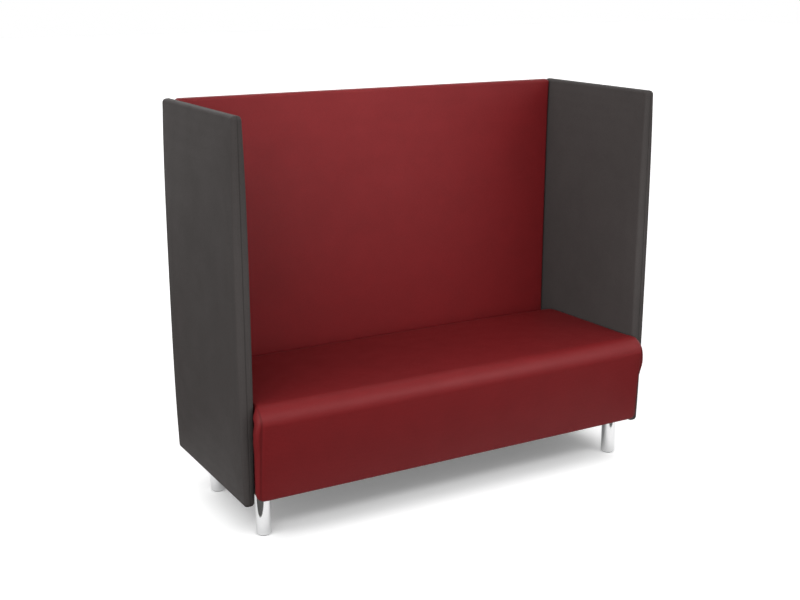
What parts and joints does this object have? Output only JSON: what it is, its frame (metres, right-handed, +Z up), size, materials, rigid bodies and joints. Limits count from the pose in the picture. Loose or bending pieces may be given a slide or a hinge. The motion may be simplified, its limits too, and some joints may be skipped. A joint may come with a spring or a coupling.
{
  "type": "acoustic sofa",
  "caption": "High-backed acoustic sofa: one-piece bench seat between tall padded side and back panels, on round chrome legs with levelling glides.",
  "frame": {"origin": "on the floor, under the middle of the overall box", "axes": "+X across the seat to the viewer's right when facing the sofa, +Y to the back panel, +Z up; the front faces -Y"},
  "size_m": [1.6006, 0.6747, 1.35],
  "materials": {
    "red_cover": "smooth faux leather, soft sheen",
    "charcoal_cover": "fine-grained faux leather, satin",
    "foam": "open-cell foam",
    "board": "plain fibreboard",
    "timber": "planed hardwood",
    "webbing": "woven elastic strap",
    "dust_cloth": "non-woven cloth",
    "steel": "zinc plated",
    "chrome": "polished",
    "nylon": "moulded, matte"
  },
  "bodies": {
    "sofa": {"back_board": "board", "back_front_cover": "red_cover", "back_front_foam": "foam", "back_rear_cover": "red_cover", "back_rear_foam": "foam", "dust_cover": "dust_cloth", "front_left_leg_plate": "chrome", "front_left_leg_plug": "nylon", "front_left_leg_tube": "chrome", "front_right_leg_plate": "chrome", "front_right_leg_plug": "nylon", "front_right_leg_tube": "chrome", "left_panel_board": "board", "left_panel_inner_cover": "charcoal_cover", "left_panel_inner_foam": "foam", "left_panel_outer_cover": "charcoal_cover", "left_panel_outer_foam": "foam", "leg_screws": "steel", "panel_bolts": "steel", "panel_dowels": "timber", "panel_tee_nuts": "steel", "panel_washers": "steel", "rear_left_leg_plate": "chrome", "rear_left_leg_plug": "nylon", "rear_left_leg_tube": "chrome", "rear_right_leg_plate": "chrome", "rear_right_leg_plug": "nylon", "rear_right_leg_tube": "chrome", "right_panel_board": "board", "right_panel_inner_cover": "charcoal_cover", "right_panel_inner_foam": "foam", "right_panel_outer_cover": "charcoal_cover", "right_panel_outer_foam": "foam", "seat_corner_blocks": "timber", "seat_cover": "red_cover", "seat_cross_rails": "timber", "seat_foam": "foam", "seat_front_foam": "foam", "seat_front_rail": "timber", "seat_left_end_cover": "red_cover", "seat_left_end_rail": "timber", "seat_rear_cover": "red_cover", "seat_rear_rail": "timber", "seat_right_end_cover": "red_cover", "seat_right_end_rail": "timber", "seat_webbing_long": "webbing", "seat_webbing_short": "webbing"},
    "front_left_glide": {"front_left_glide_foot": "nylon", "front_left_glide_stem": "steel"},
    "front_right_glide": {"front_right_glide_foot": "nylon", "front_right_glide_stem": "steel"},
    "rear_left_glide": {"rear_left_glide_foot": "nylon", "rear_left_glide_stem": "steel"},
    "rear_right_glide": {"rear_right_glide_foot": "nylon", "rear_right_glide_stem": "steel"}
  },
  "joints": [
    {"name": "front_left_glide_screw", "type": "slide", "parent": "sofa", "child": "front_left_glide", "axis": [0, 0, -1], "range_m": [0, 0.01]},
    {"name": "front_right_glide_screw", "type": "slide", "parent": "sofa", "child": "front_right_glide", "axis": [0, 0, -1], "range_m": [0, 0.01]},
    {"name": "rear_left_glide_screw", "type": "slide", "parent": "sofa", "child": "rear_left_glide", "axis": [0, 0, -1], "range_m": [0, 0.01]},
    {"name": "rear_right_glide_screw", "type": "slide", "parent": "sofa", "child": "rear_right_glide", "axis": [0, 0, -1], "range_m": [0, 0.01]}
  ]
}
